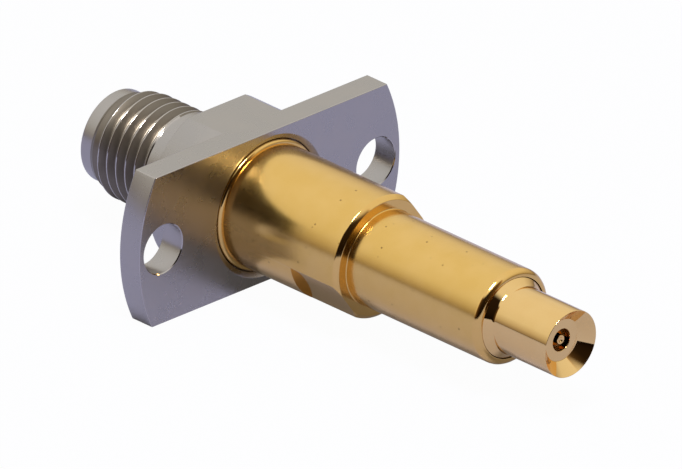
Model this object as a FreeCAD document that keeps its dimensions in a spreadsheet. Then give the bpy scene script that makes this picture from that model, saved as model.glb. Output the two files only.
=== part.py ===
"""Coaxial connector with a two-hole flange: a threaded jack at the back and a sprung
test nose at the front.

Frame: origin at the centre of the flange's front face, +X along the axis towards the nose,
+Y along the flange's long direction, +Z up. Millimetres. Every turned piece is a profile of
stations along X and radii, revolved about X.
"""
import FreeCAD, Part
import math
import os
import Sketcher

doc = FreeCAD.newDocument("CoaxialProbeConnector")

sizes = {
    # flange, hub and thread of the jack body
    "flange_diameter": 19.8,
    "flange_thickness": 1.55,
    "flats_width": 9.0,
    "hub_diameter": 10.0,
    "hub_length": 2.73,
    "shank_length": 1.99,
    "thread_diameter": 6.3,
    "thread_length": 4.86,
    "thread_chamfer": 0.35,
    "pilot_diameter": 5.35,
    "pilot_length": 0.87,
    "pilot_chamfer": 0.1,
    "hole_diameter": 2.9,
    "hole_wall": 0.35,
    # socket end of the jack
    "socket_diameter": 4.6,
    "socket_depth": 1.9,
    "socket_chamfer": 0.15,
    "dielectric_diameter": 4.1,
    "collar_diameter": 4.8,
    "collar_length": 0.8,
    # recess in the flange face round the barrel, and the threaded seat behind it
    "recess_diameter": 7.68,
    "recess_depth": 0.65,
    "recess_bevel_width": 0.31,
    "recess_bevel_depth": 0.18,
    "spigot_diameter": 6.8,
    "spigot_length": 1.75,
    # barrel, with a bevelled collar that nearly fills the recess
    "barrel_collar_diameter": 7.56,
    "barrel_collar_bevel": 0.25,
    "barrel_diameter": 7.15,
    "barrel_length": 8.77,
    "barrel_chamfer": 0.24,
    "neck_diameter": 5.57,
    "neck_length": 10.15,
    "mouth_diameter": 4.72,
    "mouth_rounding": 0.4,
    "barrel_bore": 5.0,
    "wrench_across": 6.52,
    "wrench_length": 3.58,
    "wrench_angle": 36.8,
    # sprung nose
    "nose_diameter": 3.9,
    "nose_reach": 4.44,
    "nose_back": 6.3,
    "nose_bore": 3.0,
    "nose_land": 1.4,
    "nose_relief": 0.15,
    "rim_width": 0.03,
    "funnel_depth": 0.7,
    "front_wall": 1.3,
    "front_hole": 1.3,
    "seat_gap": 0.05,
    "slide_clearance": 0.05,
    "stroke": 3.0,
    "stop_clearance": 0.2,
    # fixed outer conductor tube and its slotted front
    "tube_bore": 2.4,
    "tube_flange_length": 0.8,
    "tube_slot_length": 2.5,
    "tube_slot_width": 0.25,
    # centre conductor of the jack
    "pin_diameter": 1.27,
    "pin_bore": 0.94,
    "pin_bore_depth": 2.6,
    "pin_slot_length": 2.0,
    "pin_slot_width": 0.2,
    "pin_mouth": 0.1,
    # feed rod from the jack's pin to the nose
    "feed_diameter": 1.04,
    "stub_diameter": 0.6,
    "stub_length": 1.5,
    "feed_bore": 0.64,
    "feed_slot_length": 3.0,
    "feed_slot_width": 0.15,
    "feed_engagement": 3.9,
    "bead_length": 1.2,
    "bead_inset": 0.3,
    # centre contact of the nose
    "carrier_diameter": 0.9,
    "carrier_length": 4.4,
    "carrier_bore": 0.72,
    "carrier_lip": 0.2,
    "carrier_collar": 1.2,
    "carrier_collar_length": 0.25,
    "nose_insulator_length": 2.9,
    "tail_plug_length": 0.9,
    "tip_diameter": 0.55,
    "tip_head_length": 0.8,
    "tip_inset": 0.05,
    "tip_dimple": 0.32,
    "tip_edge": 0.04,
    # springs, their seat and the washer that the nose pushes on
    "seat_length": 4.4,
    "washer_thickness": 0.25,
    "washer_clearance": 0.1,
    "spring_wire": 0.5,
    "spring_diameter": 3.95,
    "spring_turns": 10,
    "contact_wire": 0.08,
    "contact_spring_diameter": 0.54,
    "contact_turns": 6,
    # radial play of a pressed or screwed fit, and axial play behind a lip
    "fit_play": 0.02,
}

sheet = doc.addObject("Spreadsheet::Sheet", "Sizes")
for row, (alias, value) in enumerate(sizes.items(), start=1):
    sheet.set(f"A{row}", alias)
    sheet.set(f"B{row}", str(value))
    sheet.setAlias(f"B{row}", alias)
doc.recompute()


def size(alias):
    """Reference to a cell, for use in an expression."""
    return f"Sizes.{alias}"


def half(alias):
    """Radius from a diameter's cell."""
    return f"Sizes.{alias} / 2"


def value_of(expression):
    """Present value of an expression, in millimetres or degrees."""
    return float(sheet.evalExpression(expression))


def plus(*terms):
    return "(" + " + ".join(terms) + ")"


def minus(first, *rest):
    return "(" + " - ".join((first,) + rest) + ")"


# Stations along the axis, from the back of the jack to the nose's rim.
flange_face = "0"
flange_back = f"(-{size('flange_thickness')})"
hub_back = minus(flange_back, size("hub_length"))
shank_end = minus(hub_back, size("shank_length"))
thread_end = minus(shank_end, size("thread_length"))
jack_face = minus(thread_end, size("pilot_length"))
reference_plane = plus(jack_face, size("socket_depth"))

hole_offset = minus(half("flange_diameter"), size("hole_wall"), half("hole_diameter"))

barrel_shoulder = f"(-{size('recess_depth')})"
spigot_end = minus(barrel_shoulder, size("spigot_length"))
tube_seat = minus(spigot_end, size("tube_flange_length"))
collar_seat = minus(tube_seat, size("collar_length"))

barrel_step = size("barrel_length")
mouth = plus(barrel_step, size("neck_length"))
mouth_slope = minus(half("barrel_bore"), half("mouth_diameter"))

rim = plus(mouth, size("nose_reach"))
funnel_floor = minus(rim, size("funnel_depth"))
wall_back = minus(funnel_floor, size("front_wall"))
sleeve_back = minus(mouth, size("nose_back"))
guide_radius = minus(half("barrel_bore"), size("slide_clearance"))
cone_top = minus(mouth, size("seat_gap"), minus(guide_radius, half("mouth_diameter")))
cone_foot = plus(cone_top, minus(guide_radius, half("nose_diameter")))

insulator_back = minus(wall_back, size("nose_insulator_length"))
carrier_back = minus(wall_back, size("carrier_length"))
tube_front = minus(insulator_back, size("carrier_collar_length"), size("stroke"),
                   size("stop_clearance"))
feed_front = minus(carrier_back, size("stroke"), size("stop_clearance"))
plug_front = plus(carrier_back, size("tail_plug_length"))
tail_end = minus(feed_front, size("feed_engagement"))
feed_bore_end = minus(tail_end, size("stroke"), size("stop_clearance"))

lip_back = minus(wall_back, size("carrier_lip"))
tip_front = minus(funnel_floor, size("tip_inset"))
head_front = minus(lip_back, size("fit_play"))
head_back = minus(head_front, size("tip_head_length"))

seat_front = plus(spigot_end, size("seat_length"))
spring_front = minus(sleeve_back, size("washer_thickness"))

rear_bead_back = plus(spigot_end, size("bead_inset"))
front_bead_front = minus(feed_bore_end, size("bead_inset"))

tube_radius = minus(half("nose_bore"), size("slide_clearance"))


def new_body(name):
    body = doc.addObject("PartDesign::Body", name)
    body.Label = name
    return body


def new_sketch(body, name, role):
    """Sketch on one of the body's own origin planes."""
    sketch = body.newObject("Sketcher::SketchObject", name)
    plane = next(f for f in body.Origin.OriginFeatures if f.Role == role)
    sketch.AttachmentSupport = (plane, [""])
    sketch.MapMode = "FlatFace"
    return sketch


def fix(sketch, kind, element, point, expression):
    """One distance of a point from the sketch's origin, tied to the sheet."""
    value = value_of(expression)
    index = sketch.addConstraint(Sketcher.Constraint(kind, element, point, value))
    sketch.setExpression(f"Constraints[{index}]", expression)


def draw_outline(sketch, outline):
    """Closed outline. A corner is (x, radius); with a third and fourth entry, the edge that
    arrives at it is a quarter arc round that centre."""
    points = [FreeCAD.Vector(value_of(c[0]), value_of(c[1]), 0) for c in outline]
    count = len(outline)
    for index, start in enumerate(points):
        corner = outline[(index + 1) % count]
        end = points[(index + 1) % count]
        if len(corner) == 4:
            centre = FreeCAD.Vector(value_of(corner[2]), value_of(corner[3]), 0)
            outward = (start - centre) + (end - centre)
            middle = centre + outward.normalize() * (start - centre).Length
            edge = Part.ArcOfCircle(start, middle, end)
        else:
            edge = Part.LineSegment(start, end)
        sketch.addGeometry(edge, False)
    ends = []
    for index in range(count):
        is_arc = len(outline[(index + 1) % count]) == 4
        ends.append((2, 1) if is_arc else (1, 2))
    for index in range(count):
        following = (index + 1) % count
        sketch.addConstraint(Sketcher.Constraint(
            "Coincident", index, ends[index][1], following, ends[following][0]))
    for index, corner in enumerate(outline):
        fix(sketch, "DistanceX", index, ends[index][0], corner[0])
        fix(sketch, "DistanceY", index, ends[index][0], corner[1])
    for index in range(count):
        corner = outline[(index + 1) % count]
        if len(corner) == 4:
            fix(sketch, "DistanceX", index, 3, corner[2])


def turned(name, outline):
    """A body turned about X from an outline of stations and radii."""
    body = new_body(name)
    sketch = new_sketch(body, f"{name}_profile", "XY_Plane")
    draw_outline(sketch, outline)
    turning = body.newObject("PartDesign::Revolution", f"{name}_turning")
    turning.Profile = sketch
    turning.ReferenceAxis = (sketch, ["H_Axis"])
    turning.Angle = 360
    doc.recompute()
    return body


def rectangle(sketch, left, right, bottom, top):
    """Rectangle whose four sides are tied to the sheet."""
    draw_outline(sketch, [(left, bottom), (right, bottom), (right, top), (left, top)])


def pocket(body, sketch, name, depth, forward=False):
    """Straight cut of a known depth, to the back unless forward; it has to take metal off."""
    before = body.Shape.Volume
    cut = body.newObject("PartDesign::Pocket", name)
    cut.Profile = sketch
    cut.Type = 0
    cut.Reversed = forward
    cut.setExpression("Length", depth)
    doc.recompute()
    if body.Shape.Volume >= before:
        raise ValueError(f"{name} cuts nothing")
    return cut


def move_sketch(sketch, station):
    """Set a cross-section sketch at a station along the axis."""
    sketch.setExpression("AttachmentOffset.Base.z", station)


def cross_slots(body, name, station, radius, width, depth, forward):
    """Two slots at right angles across a round end, so four spring fingers are left."""
    sketch = new_sketch(body, f"{name}_outline", "YZ_Plane")
    move_sketch(sketch, station)
    rectangle(sketch, f"-({radius})", radius, f"-{width} / 2", f"{width} / 2")
    cut = pocket(body, sketch, name, depth, forward)
    turns = body.newObject("PartDesign::PolarPattern", f"{name}_pattern")
    turns.Originals = [cut]
    turns.Axis = (sketch, ["N_Axis"])
    turns.Angle = 90
    turns.Occurrences = 2
    body.Tip = turns
    doc.recompute()


def jack_body():
    """Flange, hub and threaded jack, turned from one bar and milled with two flats."""
    thread_top = half("thread_diameter")
    pilot_top = half("pilot_diameter")
    chamfer = size("thread_chamfer")
    body = turned("jack_body", [
        (flange_face, plus(half("recess_diameter"), size("recess_bevel_width"))),
        (flange_face, half("flange_diameter")),
        (flange_back, half("flange_diameter")),
        (flange_back, half("hub_diameter")),
        (hub_back, half("hub_diameter")),
        (hub_back, thread_top),
        (plus(thread_end, chamfer), thread_top),
        (thread_end, minus(thread_top, chamfer)),
        (thread_end, pilot_top),
        (plus(jack_face, size("pilot_chamfer")), pilot_top),
        (jack_face, minus(pilot_top, size("pilot_chamfer"))),
        (jack_face, plus(half("socket_diameter"), size("socket_chamfer"))),
        (plus(jack_face, size("socket_chamfer")), half("socket_diameter")),
        (reference_plane, half("socket_diameter")),
        (reference_plane, half("dielectric_diameter")),
        (collar_seat, half("dielectric_diameter")),
        (collar_seat, half("collar_diameter")),
        (tube_seat, half("collar_diameter")),
        (tube_seat, half("spigot_diameter")),
        (barrel_shoulder, half("spigot_diameter")),
        (barrel_shoulder, half("recess_diameter")),
        (f"(-{size('recess_bevel_depth')})", half("recess_diameter")),
    ])
    # the two flats run across the flange and the hub
    reach = size("flange_diameter")
    flat = half("flats_width")
    for side, low, high in (("upper", flat, reach), ("lower", f"-{reach}", f"-{flat}")):
        sketch = new_sketch(body, f"{side}_flat_outline", "YZ_Plane")
        rectangle(sketch, f"-{reach}", reach, low, high)
        pocket(body, sketch, f"{side}_flat", plus(size("flange_thickness"), size("hub_length")))
    # the two mounting holes
    sketch = new_sketch(body, "mounting_hole_outline", "YZ_Plane")
    for index, offset in enumerate((hole_offset, f"-{hole_offset}")):
        centre = FreeCAD.Vector(value_of(offset), 0, 0)
        radius = value_of(half("hole_diameter"))
        sketch.addGeometry(Part.Circle(centre, FreeCAD.Vector(0, 0, 1), radius), False)
        fix(sketch, "DistanceX", index, 3, offset)
        sketch.addConstraint(Sketcher.Constraint("PointOnObject", index, 3, -1))
        row = sketch.addConstraint(Sketcher.Constraint("Radius", index, radius))
        sketch.setExpression(f"Constraints[{row}]", half("hole_diameter"))
    pocket(body, sketch, "mounting_holes", size("flange_thickness"))
    return body


def jack_insulator():
    """Sleeve of dielectric with a collar that the feed tube's flange clamps."""
    play = size("fit_play")
    bore = plus(half("pin_diameter"), play)
    return turned("jack_insulator", [
        (reference_plane, bore),
        (reference_plane, minus(half("dielectric_diameter"), play)),
        (collar_seat, minus(half("dielectric_diameter"), play)),
        (collar_seat, minus(half("collar_diameter"), play)),
        (tube_seat, minus(half("collar_diameter"), play)),
        (tube_seat, bore),
    ])


def jack_contact():
    """Female centre pin: a slotted socket at the back, a hole for the feed rod in front."""
    outer = half("pin_diameter")
    hole_end = minus(tube_seat, size("stub_length"), size("stop_clearance"))
    socket_end = plus(reference_plane, size("pin_bore_depth"))
    body = turned("jack_contact", [
        (reference_plane, half("pin_bore")),
        (reference_plane, minus(outer, size("pin_mouth"))),
        (plus(reference_plane, size("pin_mouth")), outer),
        (tube_seat, outer),
        (tube_seat, half("stub_diameter")),
        (hole_end, half("stub_diameter")),
        (hole_end, "0"),
        (socket_end, "0"),
        (socket_end, half("pin_bore")),
    ])
    cross_slots(body, "pin_slot", reference_plane, half("thread_diameter"),
                size("pin_slot_width"), size("pin_slot_length"), True)
    return body


def feed_rod():
    """Centre conductor through the barrel: a stub for the jack's pin at the back, a slotted
    socket in front."""
    outer = half("feed_diameter")
    body = turned("feed_rod", [
        (minus(tube_seat, size("stub_length")), "0"),
        (minus(tube_seat, size("stub_length")), minus(half("stub_diameter"), size("fit_play"))),
        (tube_seat, minus(half("stub_diameter"), size("fit_play"))),
        (tube_seat, outer),
        (feed_front, outer),
        (feed_front, half("feed_bore")),
        (feed_bore_end, half("feed_bore")),
        (feed_bore_end, "0"),
    ])
    cross_slots(body, "feed_slot", feed_front, half("nose_bore"),
                size("feed_slot_width"), size("feed_slot_length"), False)
    return body


def bead(name, back):
    """Support bead between the feed rod and the feed tube."""
    inner = plus(half("feed_diameter"), size("fit_play"))
    outer = minus(half("tube_bore"), size("fit_play"))
    front = plus(back, size("bead_length"))
    return turned(name, [(back, inner), (back, outer), (front, outer), (front, inner)])


def feed_tube():
    """Fixed outer conductor: a flange clamped behind the barrel and a slotted front end."""
    rim_radius = minus(half("spigot_diameter"), size("fit_play"))
    body = turned("feed_tube", [
        (tube_seat, half("tube_bore")),
        (tube_seat, rim_radius),
        (spigot_end, rim_radius),
        (spigot_end, tube_radius),
        (tube_front, tube_radius),
        (tube_front, half("tube_bore")),
    ])
    cross_slots(body, "tube_slot", tube_front, half("barrel_bore"),
                size("tube_slot_width"), size("tube_slot_length"), False)
    return body


def barrel():
    """Stepped barrel: spigot in the flange, two wrench flats, and a rolled conical mouth."""
    neck = half("neck_diameter")
    rounding = size("mouth_rounding")
    bore = half("barrel_bore")
    spigot = minus(half("spigot_diameter"), size("fit_play"))
    body = turned("barrel", [
        (spigot_end, bore),
        (spigot_end, spigot),
        (barrel_shoulder, spigot),
        (barrel_shoulder, half("barrel_collar_diameter")),
        (f"(-{size('barrel_collar_bevel')})", half("barrel_collar_diameter")),
        (flange_face, half("barrel_diameter")),
        (minus(barrel_step, size("barrel_chamfer")), half("barrel_diameter")),
        (barrel_step, minus(half("barrel_diameter"), size("barrel_chamfer"))),
        (barrel_step, neck),
        (minus(mouth, rounding), neck),
        (mouth, minus(neck, rounding), minus(mouth, rounding), minus(neck, rounding)),
        (mouth, half("mouth_diameter")),
        (minus(mouth, mouth_slope), bore),
    ])
    # wrench flats, milled back from the step at an angle to the flange
    reach = size("barrel_diameter")
    flat = half("wrench_across")
    for side, low, high in (("near", flat, reach), ("far", f"-{reach}", f"-{flat}")):
        sketch = new_sketch(body, f"{side}_wrench_outline", "YZ_Plane")
        move_sketch(sketch, barrel_step)
        sketch.AttachmentOffset.Rotation = FreeCAD.Rotation(FreeCAD.Vector(0, 0, 1), 1)
        sketch.setExpression("AttachmentOffset.Rotation.Angle", f"90 + {size('wrench_angle')}")
        rectangle(sketch, f"-{reach}", reach, low, high)
        pocket(body, sketch, f"{side}_wrench_flat", size("wrench_length"))
    return body


def spring_seat():
    """Bush on the feed tube that carries the back of the main spring."""
    inner = plus(tube_radius, size("fit_play"))
    outer = minus(half("barrel_bore"), size("fit_play"))
    return turned("spring_seat", [
        (spigot_end, inner), (spigot_end, outer), (seat_front, outer), (seat_front, inner)])


def thrust_washer():
    """Hardened washer between the main spring and the nose, loose in the barrel's bore."""
    inner = plus(tube_radius, size("washer_clearance"))
    outer = minus(half("barrel_bore"), size("washer_clearance"))
    return turned("thrust_washer", [
        (spring_front, inner), (spring_front, outer), (sleeve_back, outer), (sleeve_back, inner)])


def nose_sleeve():
    """Sprung outer contact: guide lands in the barrel, a conical shoulder that seats in the
    mouth, and a polished nose with a funnel."""
    relief = minus(guide_radius, size("nose_relief"))
    land = size("nose_land")
    nose = half("nose_diameter")
    lip = minus(nose, size("rim_width"))
    return turned("nose_sleeve", [
        (sleeve_back, half("nose_bore")),
        (sleeve_back, guide_radius),
        (plus(sleeve_back, land), guide_radius),
        (plus(sleeve_back, land), relief),
        (minus(cone_top, land), relief),
        (minus(cone_top, land), guide_radius),
        (cone_top, guide_radius),
        (cone_foot, nose),
        (rim, nose),
        (rim, lip),
        (funnel_floor, minus(lip, size("funnel_depth"))),
        (funnel_floor, half("front_hole")),
        (wall_back, half("front_hole")),
        (wall_back, half("nose_bore")),
    ])


def nose_insulator():
    """Dielectric sleeve pressed into the nose against its front wall."""
    inner = plus(half("carrier_diameter"), size("fit_play"))
    outer = minus(half("nose_bore"), size("fit_play"))
    return turned("nose_insulator", [
        (insulator_back, inner), (insulator_back, outer), (wall_back, outer), (wall_back, inner)])


def contact_carrier():
    """Tube of the centre contact, with a collar behind the insulator and a rolled lip."""
    bore = half("carrier_bore")
    outer = half("carrier_diameter")
    collar = half("carrier_collar")
    collar_back = minus(insulator_back, size("carrier_collar_length"))
    lip = plus(half("tip_diameter"), size("fit_play"))
    return turned("contact_carrier", [
        (carrier_back, bore),
        (carrier_back, outer),
        (collar_back, outer),
        (collar_back, collar),
        (insulator_back, collar),
        (insulator_back, outer),
        (wall_back, outer),
        (wall_back, lip),
        (lip_back, lip),
        (lip_back, bore),
    ])


def tail_pin():
    """Pin pressed into the back of the carrier; its stem slides in the feed rod's socket."""
    plug = minus(half("carrier_bore"), size("fit_play"))
    stem = minus(half("feed_bore"), size("fit_play"))
    return turned("tail_pin", [
        (tail_end, "0"),
        (tail_end, stem),
        (carrier_back, stem),
        (carrier_back, plug),
        (plug_front, plug),
        (plug_front, "0"),
    ])


def contact_tip():
    """Centre contact: a headed pin with a dimpled tip."""
    stem = half("tip_diameter")
    head = minus(half("carrier_bore"), size("fit_play"))
    edge = size("tip_edge")
    dimple = half("tip_dimple")
    return turned("contact_tip", [
        (head_back, "0"),
        (head_back, head),
        (head_front, head),
        (head_front, stem),
        (minus(tip_front, edge), stem),
        (tip_front, minus(stem, edge)),
        (tip_front, dimple),
        (minus(tip_front, dimple), "0"),
    ])


def coil_spring(name, back, front, diameter, wire, turns):
    """Compression spring with one closed turn at each end. The wire is six-sided and each
    turn has twelve mitred runs, close to round at this size."""
    start = value_of(back) + value_of(wire) / 2
    end = value_of(front) - value_of(wire) / 2
    radius = value_of(diameter) / 2
    active = int(value_of(turns))
    runs, sides = 12, 6
    closed_rise = value_of(wire)
    active_rise = (end - start - 2 * closed_rise) / active
    path = []
    for step in range((active + 2) * runs + 1):
        turn = step / runs
        rise = min(turn, 1) * closed_rise
        rise += min(max(turn - 1, 0), active) * active_rise
        rise += max(turn - 1 - active, 0) * closed_rise
        angle = 2 * math.pi * turn
        path.append(FreeCAD.Vector(start + rise, radius * math.cos(angle),
                                   radius * math.sin(angle)))
    ahead = (path[1] - path[0]).normalize()
    outward = FreeCAD.Vector(0, 1, 0)
    side = ahead.cross(outward).normalize()
    outward = side.cross(ahead).normalize()
    ring = []
    for index in range(sides + 1):
        angle = 2 * math.pi * (index + 0.5) / sides
        ring.append(path[0] + (outward * math.cos(angle) + side * math.sin(angle))
                    * (value_of(wire) / 2))
    section = Part.makePolygon(ring)
    right_corner = 1
    solid = Part.makePolygon(path).makePipeShell([section], True, False, right_corner)
    spring = doc.addObject("Part::Feature", name)
    spring.Label = name
    spring.Shape = solid
    return spring


parts = [
    jack_body(),
    jack_insulator(),
    jack_contact(),
    barrel(),
    feed_tube(),
    feed_rod(),
    bead("rear_bead", rear_bead_back),
    bead("front_bead", minus(front_bead_front, size("bead_length"))),
    spring_seat(),
    coil_spring("main_spring", seat_front, spring_front, size("spring_diameter"),
                size("spring_wire"), size("spring_turns")),
    thrust_washer(),
    nose_sleeve(),
    nose_insulator(),
    contact_carrier(),
    tail_pin(),
    coil_spring("contact_spring", plug_front, head_back, size("contact_spring_diameter"),
                size("contact_wire"), size("contact_turns")),
    contact_tip(),
]

doc.recompute()
for item in doc.Objects:
    if "Invalid" in item.State or "Error" in item.State:
        raise ValueError(f"{item.Label} failed")
for part in parts:
    if part.Shape.isNull() or not part.Shape.isValid():
        raise ValueError(f"{part.Label} has no valid shape")

os.makedirs("parts", exist_ok=True)
for part in parts:
    part.Shape.exportStep(f"parts/{part.Label}.step")
    box = part.Shape.optimalBoundingBox()
    print(f"{part.Label:16s} solids {len(part.Shape.Solids)} volume {part.Shape.Volume:9.3f} "
          f"x {box.XMin:7.3f} {box.XMax:7.3f} y {box.YMin:7.3f} {box.YMax:7.3f}")
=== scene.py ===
import math

import bmesh
import bpy
from mathutils import Matrix, Vector


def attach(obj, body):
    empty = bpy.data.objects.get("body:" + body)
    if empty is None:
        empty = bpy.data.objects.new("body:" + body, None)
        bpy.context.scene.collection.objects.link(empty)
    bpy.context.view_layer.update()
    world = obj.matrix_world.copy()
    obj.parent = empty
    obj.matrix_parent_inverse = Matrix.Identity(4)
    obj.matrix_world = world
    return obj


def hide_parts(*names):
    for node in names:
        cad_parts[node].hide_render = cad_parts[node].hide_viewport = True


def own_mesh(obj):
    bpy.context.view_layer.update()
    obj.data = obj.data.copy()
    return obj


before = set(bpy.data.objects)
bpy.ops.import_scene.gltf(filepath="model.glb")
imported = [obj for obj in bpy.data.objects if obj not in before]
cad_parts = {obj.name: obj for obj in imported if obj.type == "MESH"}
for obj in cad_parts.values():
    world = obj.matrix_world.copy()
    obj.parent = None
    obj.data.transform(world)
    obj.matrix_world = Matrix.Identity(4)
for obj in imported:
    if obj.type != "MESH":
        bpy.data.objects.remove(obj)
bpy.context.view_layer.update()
scene = bpy.context.scene
scene.view_settings.view_transform = "Standard"

# everything below is drawn in millimetres and brought to metres when a piece is finished
mm = 0.001
xAxis = Vector((1, 0, 0))
fullTurn = 2 * math.pi
mergeGap = 0.0002                    # vertices closer than this become one
cutGap = 0.0001                      # a cut this near to a vertex runs through it
sharpAngle = math.radians(32)        # edges that turn more than this stay sharp
squareNormal = 0.99999               # normals of end faces along X, of milled flats along Z


def linearFromHex(code):
    channels = [int(code[i:i + 2], 16) / 255 for i in (1, 3, 5)]
    return [c / 12.92 if c <= 0.04045 else ((c + 0.055) / 1.055) ** 2.4 for c in channels] + [1]


def addNode(tree, kind, settings=None, inputs=None):
    # settings go on the node; an input, by name or by number, takes a value or a socket
    node = tree.nodes.new(kind)
    for name, value in (settings or {}).items():
        setattr(node, name, value)
    for name, value in (inputs or {}).items():
        if isinstance(value, bpy.types.NodeSocket):
            tree.links.new(value, node.inputs[name])
        else:
            node.inputs[name].default_value = value
    return node


def fillRamp(ramp, stops):
    while len(ramp.color_ramp.elements) < len(stops):
        ramp.color_ramp.elements.new(1.0)
    for element, (position, code) in zip(ramp.color_ramp.elements, stops):
        element.position = position
        element.color = linearFromHex(code)


def newMaterial(name):
    material = bpy.data.materials.new(name)
    material.use_nodes = True
    material.node_tree.nodes.clear()
    return material, material.node_tree


def meshObject(bm, name):
    mesh = bpy.data.meshes.new(name)
    bm.to_mesh(mesh)
    bm.free()
    item = bpy.data.objects.new(name, mesh)
    scene.collection.objects.link(item)
    return item


def axisDistance(point):
    return math.hypot(point.y, point.z)


def allOf(bm):
    return bm.verts[:] + bm.edges[:] + bm.faces[:]


def turnedMesh(corners, steps):
    # corners are (x, radius) or (x, radius, rounding); the wire is rounded, then spun about X
    bm = bmesh.new()
    verts = [bm.verts.new((c[0], c[1], 0)) for c in corners]
    for a, b in zip(verts, verts[1:] + verts[:1]):
        bm.edges.new((a, b))
    for vert, corner in zip(verts, corners):
        if len(corner) == 3:
            bmesh.ops.bevel(bm, geom=[vert], offset=corner[2], affect="VERTICES",
                            segments=5, profile=0.5, material=-1)
    bmesh.ops.spin(bm, geom=bm.verts[:] + bm.edges[:], cent=(0, 0, 0), axis=xAxis,
                   angle=fullTurn, steps=steps, use_merge=True)
    bmesh.ops.remove_doubles(bm, verts=bm.verts[:], dist=mergeGap)
    bmesh.ops.recalc_face_normals(bm, faces=bm.faces[:])
    return bm


def cutWith(bm, cutters):
    # takes the closed cutter meshes out of a mesh and returns what is left
    body = meshObject(bm, "body")
    cutterObjects = [meshObject(cutter, "cutter") for cutter in cutters]
    for cutterObject in cutterObjects:
        modifier = body.modifiers.new("cut", "BOOLEAN")
        modifier.operation = "DIFFERENCE"
        modifier.solver = "EXACT"
        modifier.object = cutterObject
    graph = bpy.context.evaluated_depsgraph_get()
    result = bpy.data.meshes.new_from_object(body.evaluated_get(graph))
    bm = bmesh.new()
    bm.from_mesh(result)
    for item in [body] + cutterObjects:
        bpy.data.objects.remove(item)
    bmesh.ops.remove_doubles(bm, verts=bm.verts[:], dist=mergeGap)
    return bm


def finishPiece(bm, name, materials, body, nodes, coiled=False):
    # to metres, smooth shading with the real edges left sharp, then onto its CAD body
    bmesh.ops.scale(bm, vec=(mm, mm, mm), verts=bm.verts[:])
    bm.normal_update()
    for face in bm.faces:
        face.smooth = True
    for edge in bm.edges:
        if len(edge.link_faces) == 2:
            # end faces and milled flats keep one clean normal up to their broken edges
            square = [max(abs(f.normal.x), abs(f.normal.z)) > squareNormal
                      for f in edge.link_faces]
            edge.smooth = edge.calc_face_angle(0) < sharpAngle and square[0] == square[1]
    piece = meshObject(bm, name)
    for material in materials:
        piece.data.materials.append(material)
    if not coiled:
        # big faces keep their true normals, the small rounds between them take the turn
        weighted = piece.modifiers.new("weightedNormals", "WEIGHTED_NORMAL")
        weighted.keep_sharp = True
    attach(piece, body)
    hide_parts(*nodes)
    print(name, len(piece.data.polygons), "faces")
    return piece


def turnedMetal(name, look):
    # fine tool marks round the axis, a satin grain, a faint mottle and, where given, specks
    material, tree = newMaterial(name)
    coords = addNode(tree, "ShaderNodeTexCoord")
    grain = addNode(tree, "ShaderNodeTexNoise", {},
                    {"Vector": coords.outputs["Object"], "Scale": 1 / (look["grain"] * mm),
                     "Detail": 3})
    # stretched over look["markLength"] round the axis, look["markWidth"] wide along it
    marks = addNode(tree, "ShaderNodeMapping", {},
                    {"Vector": coords.outputs["Object"],
                     "Scale": (1 / (look["markWidth"] * mm), 1 / (look["markLength"] * mm),
                               1 / (look["markLength"] * mm))})
    toolMarks = addNode(tree, "ShaderNodeTexNoise", {},
                        {"Vector": marks.outputs["Vector"], "Scale": 1.0, "Detail": 2})
    mottle = addNode(tree, "ShaderNodeTexNoise", {},
                     {"Vector": coords.outputs["Object"], "Scale": 1 / (look["mottle"] * mm),
                      "Detail": 4})
    # most of the noise lies between 0.3 and 0.7
    spread = look["roughness"] * 0.08
    rough = addNode(tree, "ShaderNodeMapRange", {},
                    {"Value": mottle.outputs["Fac"], "From Min": 0.3, "From Max": 0.7,
                     "To Min": look["roughness"] - spread, "To Max": look["roughness"] + spread})
    heights = addNode(tree, "ShaderNodeMath", {"operation": "MULTIPLY_ADD"},
                      {0: toolMarks.outputs["Fac"], 1: look["markDepth"] / look["grainDepth"],
                       2: grain.outputs["Fac"]})
    bump = addNode(tree, "ShaderNodeBump", {},
                   {"Height": heights.outputs["Value"], "Distance": look["grainDepth"] * mm,
                    "Strength": 1.0})
    shade = addNode(tree, "ShaderNodeMapRange", {},
                    {"Value": mottle.outputs["Fac"], "From Min": 0.35, "From Max": 0.65,
                     "To Min": 0.0, "To Max": 1.0})
    colour = addNode(tree, "ShaderNodeMix", {"data_type": "RGBA"},
                     {"Factor": shade.outputs["Result"], "A": linearFromHex(look["colour"]),
                      "B": linearFromHex(look["mottleColour"])})
    if "speckSpacing" in look:
        cells = addNode(tree, "ShaderNodeTexVoronoi", {},
                        {"Vector": coords.outputs["Object"],
                         "Scale": 1 / (look["speckSpacing"] * mm)})
        # a speck is full over the inner 0.3 of its size and fades from there
        speckShare = look["speckSize"] / look["speckSpacing"]
        spot = addNode(tree, "ShaderNodeMapRange", {"interpolation_type": "SMOOTHSTEP"},
                       {"Value": cells.outputs["Distance"], "From Min": speckShare * 0.3,
                        "From Max": speckShare, "To Min": look["speckStrength"],
                        "To Max": 0.0})
        colour = addNode(tree, "ShaderNodeMix", {"data_type": "RGBA"},
                         {"Factor": spot.outputs["Result"], "A": colour.outputs["Result"],
                          "B": linearFromHex(look["speckColour"])})
    shader = addNode(tree, "ShaderNodeBsdfPrincipled", {},
                     {"Base Color": colour.outputs["Result"], "Metallic": 1.0,
                      "Roughness": rough.outputs["Result"], "Normal": bump.outputs["Normal"]})
    addNode(tree, "ShaderNodeOutputMaterial", {}, {"Surface": shader.outputs["BSDF"]})
    return material


# stainless steel 303, turned and milled, then passivated: pale satin grey with a fine grain
steelFinish = {"colour": "#A9A39E", "mottleColour": "#ACA59F", "mottle": 1.6, "roughness": 0.28,
               "grain": 0.06, "grainDepth": 0.0003, "markWidth": 0.09, "markLength": 2.5,
               "markDepth": 0.0003}
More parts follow.
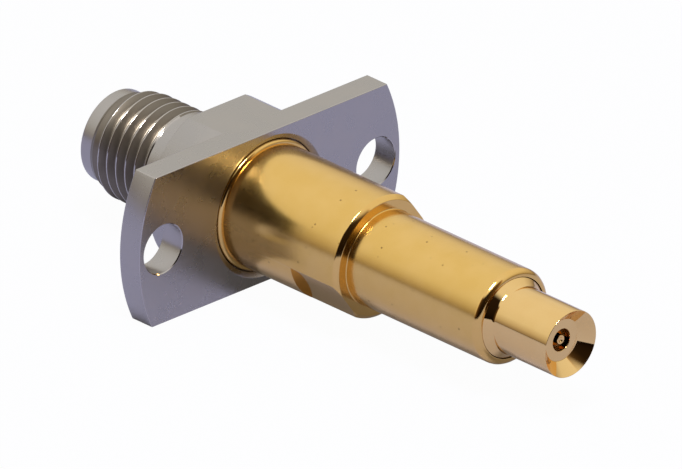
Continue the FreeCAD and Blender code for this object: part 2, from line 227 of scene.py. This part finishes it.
# the same steel on the thread's flanks, rougher where the die tore it, with painted shade: its
# colour is darkened and warmed for the shade down in the thread's troughs
paintedShadeThreadFinish = dict(steelFinish, colour="#7C7368", mottleColour="#7F766A", roughness=0.38)
# and cut clean on the thread's crests and the broken edges: smoother, and lighter in colour as a
# painted highlight along them
paintedHighlightSteelFinish = dict(steelFinish, colour="#B2ABA5", mottleColour="#B8B0A9", roughness=0.1,
                      grainDepth=0.0002, markDepth=0.0002)
# hard gold plating over nickel on turned brass: satin, with a few dark pores
barrelFinish = {"colour": "#E0B666", "mottleColour": "#E3BA6E", "mottle": 1.4, "roughness": 0.2,
                "grain": 0.08, "grainDepth": 0.0010, "markWidth": 0.10, "markLength": 1.8,
                "markDepth": 0.0010, "speckSpacing": 0.8, "speckSize": 0.08,
                "speckStrength": 0.8, "speckColour": "#6E4E20"}
# the plating over the polished nose: mirror bright
noseFinish = {"colour": "#E6BE7C", "mottleColour": "#E8C180", "mottle": 1.2, "roughness": 0.05,
              "grain": 0.08, "grainDepth": 0.0003, "markWidth": 0.08, "markLength": 1.5,
              "markDepth": 0.0002}
# the plating over the barrel's rounded and chamfered edges: nearly as bright
edgeGoldFinish = dict(noseFinish, colour="#E2B66A", mottleColour="#E4BA70", roughness=0.1)

steel = turnedMetal("passivatedStainlessSteel", steelFinish)
# the thread flanks' steel is darkened as painted shade
paintedShadeThreadSteel = turnedMetal("screwCutStainlessSteelWithPaintedShade", paintedShadeThreadFinish)
# the crests' and broken edges' steel is lightened as a painted highlight
paintedHighlightSteel = turnedMetal("brightCutStainlessSteelWithPaintedHighlight", paintedHighlightSteelFinish)
gold = turnedMetal("satinGoldPlating", barrelFinish)
edgeGold = turnedMetal("brightEdgeGoldPlating", edgeGoldFinish)
brightGold = turnedMetal("polishedGoldPlating", noseFinish)

# fluoropolymer, turned from white rod: waxy and matte, with a soft waviness
dielectricFinish = {"colour": "#E8E6DF", "roughness": 0.5, "wave": 1.11, "waveDepth": 0.002}
dielectric, dielectricTree = newMaterial("turnedFluoropolymer")
rodCoords = addNode(dielectricTree, "ShaderNodeTexCoord")
wave = addNode(dielectricTree, "ShaderNodeTexNoise", {},
               {"Vector": rodCoords.outputs["Object"],
                "Scale": 1 / (dielectricFinish["wave"] * mm), "Detail": 2})
wax = addNode(dielectricTree, "ShaderNodeBump", {},
              {"Height": wave.outputs["Fac"], "Distance": dielectricFinish["waveDepth"] * mm})
waxShader = addNode(dielectricTree, "ShaderNodeBsdfPrincipled", {},
                    {"Base Color": linearFromHex(dielectricFinish["colour"]),
                     "Roughness": dielectricFinish["roughness"],
                     "Normal": wax.outputs["Normal"]})
addNode(dielectricTree, "ShaderNodeOutputMaterial", {}, {"Surface": waxShader.outputs["BSDF"]})
print("materials made")


# jack body: flange with two flats and two holes, hub, shank, thread, pilot and socket
jack = {
    "flangeRadius": 9.9, "flangeBack": -1.55, "hubRadius": 5.0, "hubBack": -4.28,
    "threadRadius": 3.15, "shankRound": 0.06, "shankEnd": -6.27, "threadEnd": -11.13,
    "pilotRadius": 2.675, "face": -12.0, "faceRound": 0.1, "socketRadius": 2.3,
    "socketRound": 0.12, "socketFloor": -10.1, "floorRound": 0.04, "dielectricRadius": 2.05,
    "recessRadius": 3.85, "recessDepth": -0.65, "sinkRadius": 4.15, "sinkDepth": 0.18,
    "sinkRound": 0.03, "seatRadius": 3.4, "seatDepth": -3.2, "flat": 4.5, "edge": 0.09,
    "edgeTurn": 0.6, "holeRadius": 1.45, "holeOffset": 8.1, "holeBreak": 0.05,
    # the core runs under the thread, which laps over it at shank and pilot
    "coreRadius": 2.6, "shankLap": 0.3, "pilotLap": 0.2,
}
# with 252 steps no leftover sliver at the flats holds the edge round back
bm = turnedMesh([
    (0, jack["sinkRadius"], jack["sinkRound"]),
    (0, jack["flangeRadius"]),
    (jack["flangeBack"], jack["flangeRadius"]),
    (jack["flangeBack"], jack["hubRadius"]),
    (jack["hubBack"], jack["hubRadius"]),
    (jack["hubBack"], jack["threadRadius"], jack["shankRound"]),
    (jack["shankEnd"] - jack["shankLap"], jack["threadRadius"]),
    (jack["shankEnd"] - jack["shankLap"], jack["coreRadius"]),
    (jack["threadEnd"] + jack["pilotLap"], jack["coreRadius"]),
    (jack["threadEnd"] + jack["pilotLap"], jack["pilotRadius"]),
    (jack["face"], jack["pilotRadius"], jack["faceRound"]),
    (jack["face"], jack["socketRadius"], jack["socketRound"]),
    (jack["socketFloor"], jack["socketRadius"], jack["floorRound"]),
    (jack["socketFloor"], jack["dielectricRadius"]),
    (jack["seatDepth"], jack["dielectricRadius"]),
    (jack["seatDepth"], jack["seatRadius"]),
    (jack["recessDepth"], jack["seatRadius"]),
    (jack["recessDepth"], jack["recessRadius"]),
    (-jack["sinkDepth"], jack["recessRadius"], jack["sinkRound"]),
], steps=252)
for side in (1, -1):
    cut = bmesh.ops.bisect_plane(bm, geom=allOf(bm), dist=cutGap,
                                 plane_co=(0, 0, side * jack["flat"]), plane_no=(0, 0, side),
                                 clear_outer=True)
    rim = [e for e in cut["geom_cut"] if isinstance(e, bmesh.types.BMEdge)]
    bmesh.ops.edgeloop_fill(bm, edges=rim)
bmesh.ops.recalc_face_normals(bm, faces=bm.faces[:])
# the outer edges of flange and hub are broken with a small round
near = 0.01
outerEdges = []
for line in bm.edges:
    middle = (line.verts[0].co + line.verts[1].co) / 2
    if (len(line.link_faces) == 2 and jack["hubBack"] - near < middle.x < near
            and axisDistance(middle) > jack["sinkRadius"] + 0.2
            and line.calc_face_angle_signed(0) > jack["edgeTurn"]):
        outerEdges.append(line)
bmesh.ops.bevel(bm, geom=outerEdges, offset=jack["edge"], affect="EDGES", segments=4,
                profile=0.5, material=-1, clamp_overlap=True)

# mounting holes, with a small break at both faces; the cutters reach 1 mm past the flange
cutterReach = 1
openRadius = jack["holeRadius"] + jack["holeBreak"]
pastRadius = openRadius + near
holeCutters = []
for side in (1, -1):
    cutter = turnedMesh([
        (cutterReach, 0),
        (cutterReach, pastRadius),
        (0, openRadius),
        (-jack["holeBreak"], jack["holeRadius"]),
        (jack["flangeBack"] + jack["holeBreak"], jack["holeRadius"]),
        (jack["flangeBack"], openRadius),
        (jack["flangeBack"] - cutterReach, pastRadius),
        (jack["flangeBack"] - cutterReach, 0),
    ], steps=96)
    bmesh.ops.translate(cutter, vec=(0, side * jack["holeOffset"], 0), verts=cutter.verts[:])
    holeCutters.append(cutter)
bm = cutWith(bm, holeCutters)

# thread 1/4-36: one turn of the profile is screwed round the axis, then repeated
thread = {"pitch": 0.7056, "depth": 0.40, "crest": 0.07, "crestRound": 0.033, "root": 0.12,
          "rootRound": 0.05, "turns": 9, "stepsPerTurn": 120, "start": -1.169,
          "leadIn": 1.0, "leadInPower": 0.7, "runOut": 0.6, "innerRadius": 2.5}
flank = (thread["pitch"] - thread["crest"] - thread["root"]) / 2
top = jack["threadRadius"]
bottom = top - thread["depth"]
start = jack["threadEnd"] + thread["start"]
outline = [(0, bottom), (thread["root"] / 2, bottom), (thread["root"] / 2 + flank, top),
           (thread["root"] / 2 + flank + thread["crest"], top),
           (thread["pitch"] - thread["root"] / 2, bottom), (thread["pitch"], bottom)]
rounds = (thread["rootRound"], thread["crestRound"], thread["crestRound"], thread["rootRound"])
tb = bmesh.new()
verts = [tb.verts.new((start + x, r, 0)) for x, r in outline]
for a, b in zip(verts, verts[1:]):
    tb.edges.new((a, b))
for vert, size in zip(verts[1:-1], rounds):
    bmesh.ops.bevel(tb, geom=[vert], offset=size, affect="VERTICES", segments=3, profile=0.5,
                    material=-1)
bmesh.ops.spin(tb, geom=tb.verts[:] + tb.edges[:], cent=(0, 0, 0), axis=xAxis,
               dvec=xAxis * thread["pitch"] / thread["stepsPerTurn"],
               angle=fullTurn, steps=thread["stepsPerTurn"], use_merge=False)
oneTurn = allOf(tb)
for number in range(1, thread["turns"]):
    copied = bmesh.ops.duplicate(tb, geom=oneTurn)
    bmesh.ops.translate(tb, vec=xAxis * thread["pitch"] * number,
                        verts=[v for v in copied["geom"] if isinstance(v, bmesh.types.BMVert)])
# wider than mergeGap, because the turns meet only to within their rounding
bmesh.ops.remove_doubles(tb, verts=tb.verts[:], dist=0.0008)
for station, direction in ((jack["threadEnd"], -1), (jack["shankEnd"], 1)):
    bmesh.ops.bisect_plane(tb, geom=allOf(tb), dist=cutGap, plane_co=(station, 0, 0),
                           plane_no=(direction, 0, 0), clear_outer=True)


def setAxisDistance(vert, wanted):
    grow = wanted / axisDistance(vert.co)
    vert.co.y *= grow
    vert.co.z *= grow


# the turns rise from the pilot at the face and run out into the shank
for vert in tb.verts:
    rise = min(1, max(0, vert.co.x - jack["threadEnd"]) / thread["leadIn"])
    rise = rise ** thread["leadInPower"]
    leadIn = jack["pilotRadius"] + (axisDistance(vert.co) - jack["pilotRadius"]) * rise
    left = min(1, (jack["shankEnd"] - vert.co.x) / thread["runOut"])
    runOut = bottom + thread["depth"] * (1 - left)
    setAxisDistance(vert, max(leadIn, runOut))
# closed with an inner wall inside the core
ends = [e for e in tb.edges if len(e.link_faces) == 1]
inner = bmesh.ops.extrude_edge_only(tb, edges=ends)
for item in inner["geom"]:
    if isinstance(item, bmesh.types.BMVert):
        setAxisDistance(item, thread["innerRadius"])
bmesh.ops.bridge_loops(tb, edges=[e for e in tb.edges if len(e.link_faces) == 1])
bmesh.ops.recalc_face_normals(tb, faces=tb.faces[:])
threadMesh = bpy.data.meshes.new("thread")
tb.to_mesh(threadMesh)
tb.free()
bm.from_mesh(threadMesh)
print("thread screwed")


def slanted(part):
    # a normal's part along a direction, neither square to it nor along it: a broken edge
    return 0.03 < abs(part) < 0.97


# steel 0, the thread's torn flanks with their painted shade 1, its crests and the flange's
# broken edges with their painted highlight 2
for face in bm.faces:
    centre = face.calc_center_median()
    radius = axisDistance(centre)
    onFlange = centre.x > jack["flangeBack"] - near and radius > jack["sinkRadius"] + 0.1
    onFlat = abs(centre.z) > jack["flat"] - 0.1
    if jack["threadEnd"] - near < centre.x < jack["shankEnd"] + near:
        onCrest = abs(face.normal.x) < 0.6 and radius > bottom + thread["depth"] / 2
        face.material_index = 2 if onCrest else 1
    elif onFlange and (slanted(face.normal.x) or slanted(face.normal.z) and onFlat):
        face.material_index = 2
finishPiece(bm, "jackBody", [steel, paintedShadeThreadSteel, paintedHighlightSteel], "housing",
            ["jack_body"])

# barrel: spigot in the flange, collar, step, neck and rolled mouth, and two wrench flats whose
# normals are turned by flatAngle from Y
barrel = {
    "spigotBack": -2.4, "spigotRadius": 3.38, "shoulder": -0.65, "collarRadius": 3.81,
    "collarFront": -0.02, "collarRound": 0.23, "radius": 3.575, "step": 8.77, "chamfer": 0.24,
    "edgeRound": 0.03, "neckRadius": 2.785, "neckRound": 0.06, "mouth": 18.92,
    "mouthRadius": 2.36, "mouthRound": 0.4, "lipRound": 0.01, "bore": 2.5, "flat": 3.26,
    "flatLength": 3.58, "flatAngle": 36.8, "cutterWidth": 12, "cutterHeight": 4,
}
bm = turnedMesh([
    (barrel["spigotBack"], barrel["bore"]),
    (barrel["spigotBack"], barrel["spigotRadius"]),
    (barrel["shoulder"], barrel["spigotRadius"]),
    (barrel["shoulder"], barrel["collarRadius"], barrel["edgeRound"]),
    (barrel["collarFront"], barrel["collarRadius"], barrel["collarRound"]),
    (barrel["collarFront"], barrel["radius"]),
    (barrel["step"] - barrel["chamfer"], barrel["radius"], barrel["edgeRound"]),
    (barrel["step"], barrel["radius"] - barrel["chamfer"], barrel["edgeRound"]),
    (barrel["step"], barrel["neckRadius"], barrel["neckRound"]),
    (barrel["mouth"], barrel["neckRadius"], barrel["mouthRound"]),
    (barrel["mouth"], barrel["mouthRadius"], barrel["lipRound"]),
    (barrel["mouth"] - barrel["bore"] + barrel["mouthRadius"], barrel["bore"]),
], steps=240)
turn = Matrix.Rotation(math.radians(90 + barrel["flatAngle"]), 3, "X")
flatCutters = []
for side in (1, -1):
    cutter = bmesh.new()
    bmesh.ops.create_cube(cutter, size=1)
    bmesh.ops.scale(cutter, verts=cutter.verts[:],
                    vec=(barrel["flatLength"], barrel["cutterWidth"], barrel["cutterHeight"]))
    bmesh.ops.translate(cutter, verts=cutter.verts[:],
                        vec=(barrel["step"] - barrel["flatLength"] / 2, 0,
                             side * (barrel["flat"] + barrel["cutterHeight"] / 2)))
    bmesh.ops.rotate(cutter, cent=(0, 0, 0), matrix=turn, verts=cutter.verts[:])
    flatCutters.append(cutter)
bm = cutWith(bm, flatCutters)
# bright on the collar, the step's chamfer and face, the flats' back ends and the mouth's round
margin = 0.02
for face in bm.faces:
    x = face.calc_center_median().x
    onCollar = x < barrel["collarFront"] + margin
    onStep = barrel["step"] - barrel["chamfer"] - margin < x < barrel["step"] + margin
    onFlatEnd = abs(x - barrel["step"] + barrel["flatLength"]) < margin
    onMouth = x > barrel["mouth"] - barrel["mouthRound"] - margin
    if onCollar or onStep or onFlatEnd or onMouth:
        face.material_index = 1
finishPiece(bm, "barrel", [gold, edgeGold], "housing", ["barrel"])

# sprung nose: guide lands, conical shoulder, nose and funnel
nose = {
    "back": 12.62, "guide": 2.45, "relief": 0.15, "land": 1.4, "landRound": 0.05,
    "coneTop": 18.78, "radius": 1.95, "coneRound": 0.12, "rim": 23.36, "rimWidth": 0.03,
    "edgeRound": 0.03, "funnel": 0.7, "funnelRound": 0.04, "hole": 0.65, "wallBack": 21.36,
    "bore": 1.5,
}
coneFoot = nose["coneTop"] + nose["guide"] - nose["radius"]
lip = nose["radius"] - nose["rimWidth"]
bm = turnedMesh([
    (nose["back"], nose["bore"]),
    (nose["back"], nose["guide"], nose["landRound"]),
    (nose["back"] + nose["land"], nose["guide"], nose["landRound"]),
    (nose["back"] + nose["land"], nose["guide"] - nose["relief"]),
    (nose["coneTop"] - nose["land"], nose["guide"] - nose["relief"]),
    (nose["coneTop"] - nose["land"], nose["guide"], nose["landRound"]),
    (nose["coneTop"], nose["guide"], nose["edgeRound"]),
    (coneFoot, nose["radius"], nose["coneRound"]),
    (nose["rim"], nose["radius"], nose["edgeRound"]),
    (nose["rim"], lip),
    (nose["rim"] - nose["funnel"], lip - nose["funnel"], nose["funnelRound"]),
    (nose["rim"] - nose["funnel"], nose["hole"], nose["funnelRound"]),
    (nose["wallBack"], nose["hole"]),
    (nose["wallBack"], nose["bore"]),
], steps=240)
finishPiece(bm, "noseSleeve", [brightGold], "nose", ["nose_sleeve"])

# centre contact with a cupped tip
tip = {"headBack": 20.34, "head": 0.34, "headRound": 0.03, "headFront": 21.14, "stem": 0.275,
       "stemRound": 0.02, "front": 22.61, "frontRound": 0.04, "dimple": 0.16}
bm = turnedMesh([
    (tip["headBack"], 0),
    (tip["headBack"], tip["head"], tip["headRound"]),
    (tip["headFront"], tip["head"], tip["stemRound"]),
    (tip["headFront"], tip["stem"], tip["stemRound"]),
    (tip["front"], tip["stem"], tip["frontRound"]),
    (tip["front"], tip["dimple"], tip["stemRound"]),
    (tip["front"] - tip["dimple"], 0),
], steps=64)
finishPiece(bm, "contactTip", [brightGold], "tip", ["contact_tip"])
print("turned pieces made")


# coil springs: a round wire screwed about the axis
def coilSpring(name, spring, body, node):
    sb = bmesh.new()
    bmesh.ops.create_circle(sb, segments=spring["wireSides"], radius=spring["wire"] / 2)
    bmesh.ops.translate(sb, verts=sb.verts[:],
                        vec=(spring["back"] + spring["wire"] / 2, spring["radius"], 0))
    whole = spring["front"] - spring["back"]
    steps = spring["turns"] * spring["stepsPerTurn"]
    bmesh.ops.spin(sb, geom=sb.verts[:] + sb.edges[:], cent=(0, 0, 0), axis=xAxis,
                   dvec=xAxis * (whole - spring["wire"]) / steps,
                   angle=fullTurn * spring["turns"], steps=steps, use_merge=False)
    bmesh.ops.holes_fill(sb, edges=[e for e in sb.edges if len(e.link_faces) == 1],
                         sides=spring["wireSides"])
    bmesh.ops.recalc_face_normals(sb, faces=sb.faces[:])
    piece = finishPiece(sb, name, [steel], body, [node], coiled=True)
    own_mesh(piece)


mainSpring = {"wire": 0.5, "radius": 1.975, "back": 2.0, "front": 12.37, "turns": 12,
              "stroke": 3.0, "wireSides": 12, "stepsPerTurn": 36}
contactSpring = {"wire": 0.08, "radius": 0.27, "back": 17.86, "front": 20.34, "turns": 8,
                 "stroke": 0.5, "wireSides": 12, "stepsPerTurn": 36}
coilSpring("mainSpring", mainSpring, "housing", "main_spring")
coilSpring("contactSpring", contactSpring, "nose", "contact_spring")

# the inner pieces keep their CAD shapes and take their finish here
innerFinish = {
    "jack_insulator": dielectric, "rear_bead": dielectric, "front_bead": dielectric,
    "nose_insulator": dielectric, "jack_contact": brightGold, "feed_tube": gold,
    "feed_rod": gold, "spring_seat": gold, "thrust_washer": steel, "contact_carrier": gold,
    "tail_pin": gold,
}
for node, material in innerFinish.items():
    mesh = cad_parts[node].data
    mesh.materials.clear()
    mesh.materials.append(material)

# floor: a sheet of pale paper under the flange's lower flat, white to the camera
floorSheet = {"radius": 3000, "sides": 96, "colour": "#9497B8", "cameraWhite": 0.975,
              "mirrorWhite": 0.12}
fb = bmesh.new()
bmesh.ops.create_circle(fb, cap_ends=True, segments=floorSheet["sides"],
                        radius=floorSheet["radius"] * mm)
bmesh.ops.translate(fb, vec=(0, 0, -jack["flat"] * mm), verts=fb.verts[:])
floor = meshObject(fb, "floor")
paper, paperTree = newMaterial("palePaper")
paperRays = addNode(paperTree, "ShaderNodeLightPath")
paint = addNode(paperTree, "ShaderNodeBsdfDiffuse", {},
                {"Color": linearFromHex(floorSheet["colour"])})
white = addNode(paperTree, "ShaderNodeEmission", {}, {"Color": (1, 1, 1, 1), "Strength": 1.0})
toCamera = addNode(paperTree, "ShaderNodeMath", {"operation": "MULTIPLY"},
                   {0: paperRays.outputs["Is Camera Ray"], 1: floorSheet["cameraWhite"]})
mirrored = addNode(paperTree, "ShaderNodeMath", {"operation": "MAXIMUM"},
                   {0: paperRays.outputs["Is Glossy Ray"],
                    1: paperRays.outputs["Is Transmission Ray"]})
share = addNode(paperTree, "ShaderNodeMath", {"operation": "MULTIPLY_ADD"},
                {0: mirrored.outputs["Value"], 1: floorSheet["mirrorWhite"],
                 2: toCamera.outputs["Value"]})
paperBlend = addNode(paperTree, "ShaderNodeMixShader", {},
                     {"Fac": share.outputs["Value"], 1: paint.outputs["BSDF"],
                      2: white.outputs["Emission"]})
addNode(paperTree, "ShaderNodeOutputMaterial", {}, {"Surface": paperBlend.outputs["Shader"]})
floor.data.materials.append(paper)

# world: a white light tent, greyer and warmer low down, with its dark opening on the side
# the photographer stands
tent = {"strength": 1.0, "openingAzimuth": -42, "openingTop": 0.72, "soft": 0.06,
        "wall": ((0.0, "#7C736E"), (0.04, "#A2988C"), (0.20, "#D4CFC3"), (0.42, "#F4F5F1"),
                 (0.75, "#FDFFFF")),
        "opening": ((0.42, "#FFFFFF"), (0.46, "#D2AE7C"), (0.52, "#85694A"), (0.75, "#54422F"),
                    (0.95, "#2A2018"))}
world = bpy.data.worlds.new("lightTent")
scene.world = world
world.use_nodes = True
tentTree = world.node_tree
tentTree.nodes.clear()
tentRays = addNode(tentTree, "ShaderNodeLightPath")
tentCoords = addNode(tentTree, "ShaderNodeTexCoord")
ray = addNode(tentTree, "ShaderNodeSeparateXYZ", {},
              {"Vector": tentCoords.outputs["Generated"]})
level = addNode(tentTree, "ShaderNodeCombineXYZ", {},
                {"X": ray.outputs["X"], "Y": ray.outputs["Y"]})
level = addNode(tentTree, "ShaderNodeVectorMath", {"operation": "NORMALIZE"},
                {"Vector": level.outputs["Vector"]})
# how nearly a ray points at the opening, seen from above
azimuth = math.radians(tent["openingAzimuth"])
towards = addNode(tentTree, "ShaderNodeVectorMath", {"operation": "DOT_PRODUCT"},
                  {0: level.outputs["Vector"], 1: (math.cos(azimuth), math.sin(azimuth), 0)})
shade = addNode(tentTree, "ShaderNodeValToRGB", {}, {"Fac": towards.outputs["Value"]})
fillRamp(shade, tent["opening"])
below = addNode(tentTree, "ShaderNodeMapRange", {"interpolation_type": "SMOOTHSTEP"},
                {"Value": ray.outputs["Z"], "From Min": tent["openingTop"] - tent["soft"],
                 "From Max": tent["openingTop"] + tent["soft"], "To Min": 1.0,
                 "To Max": 0.0})
opening = addNode(tentTree, "ShaderNodeMix", {"data_type": "RGBA"},
                  {"Factor": below.outputs["Result"], "A": (1, 1, 1, 1),
                   "B": shade.outputs["Color"]})
wall = addNode(tentTree, "ShaderNodeValToRGB", {}, {"Fac": ray.outputs["Z"]})
fillRamp(wall, tent["wall"])
tentColour = addNode(tentTree, "ShaderNodeMix", {"data_type": "RGBA", "blend_type": "MULTIPLY"},
                     {"Factor": 1.0, "A": wall.outputs["Color"],
                      "B": opening.outputs["Result"]})
room = addNode(tentTree, "ShaderNodeBackground", {},
               {"Color": tentColour.outputs["Result"], "Strength": tent["strength"]})
backdrop = addNode(tentTree, "ShaderNodeBackground", {},
                   {"Color": (1, 1, 1, 1), "Strength": 1.0})
tentBlend = addNode(tentTree, "ShaderNodeMixShader", {},
                    {"Fac": tentRays.outputs["Is Camera Ray"], 1: room.outputs["Background"],
                     2: backdrop.outputs["Background"]})
addNode(tentTree, "ShaderNodeOutputWorld", {}, {"Surface": tentBlend.outputs["Shader"]})

# key lamp: a soft disk high above, a little to the photographer's side
keyLamp = {"direction": (0.30, -0.24, 0.93), "distance": 400, "size": 130, "power": 1.8}
lampData = bpy.data.lights.new("keyLamp", "AREA")
lampData.shape = "DISK"
lampData.size = keyLamp["size"] * mm
lampData.energy = keyLamp["power"]
lamp = bpy.data.objects.new("keyLamp", lampData)
scene.collection.objects.link(lamp)
direction = Vector(keyLamp["direction"]).normalized()
lamp.location = direction * keyLamp["distance"] * mm
lamp.rotation_euler = direction.to_track_quat("Z", "Y").to_euler()

# camera at the photograph's angle, with parallel rays as from a long lens far away;
# its clip distances are in metres
camera = {"right": (0.7003, 0.7136, 0.0199), "up": (-0.3225, 0.2909, 0.9009),
          "target": (3.22, 2.31, -1.33), "distance": 200, "viewWidth": 37.07,
          "clipStart": 0.001, "clipEnd": 30}
right = Vector(camera["right"]).normalized()
up = Vector(camera["up"])
up = (up - right * up.dot(right)).normalized()
back = right.cross(up)
cameraData = bpy.data.cameras.new("camera")
cameraData.type = "ORTHO"
cameraData.ortho_scale = camera["viewWidth"] * mm
cameraData.clip_start = camera["clipStart"]
cameraData.clip_end = camera["clipEnd"]
cameraObject = bpy.data.objects.new("camera", cameraData)
scene.collection.objects.link(cameraObject)
facing = Matrix((right, up, back)).transposed().to_4x4()
place = (Vector(camera["target"]) + back * camera["distance"]) * mm
cameraObject.matrix_world = Matrix.Translation(place) @ facing
scene.camera = cameraObject
print("camera and lamps placed")
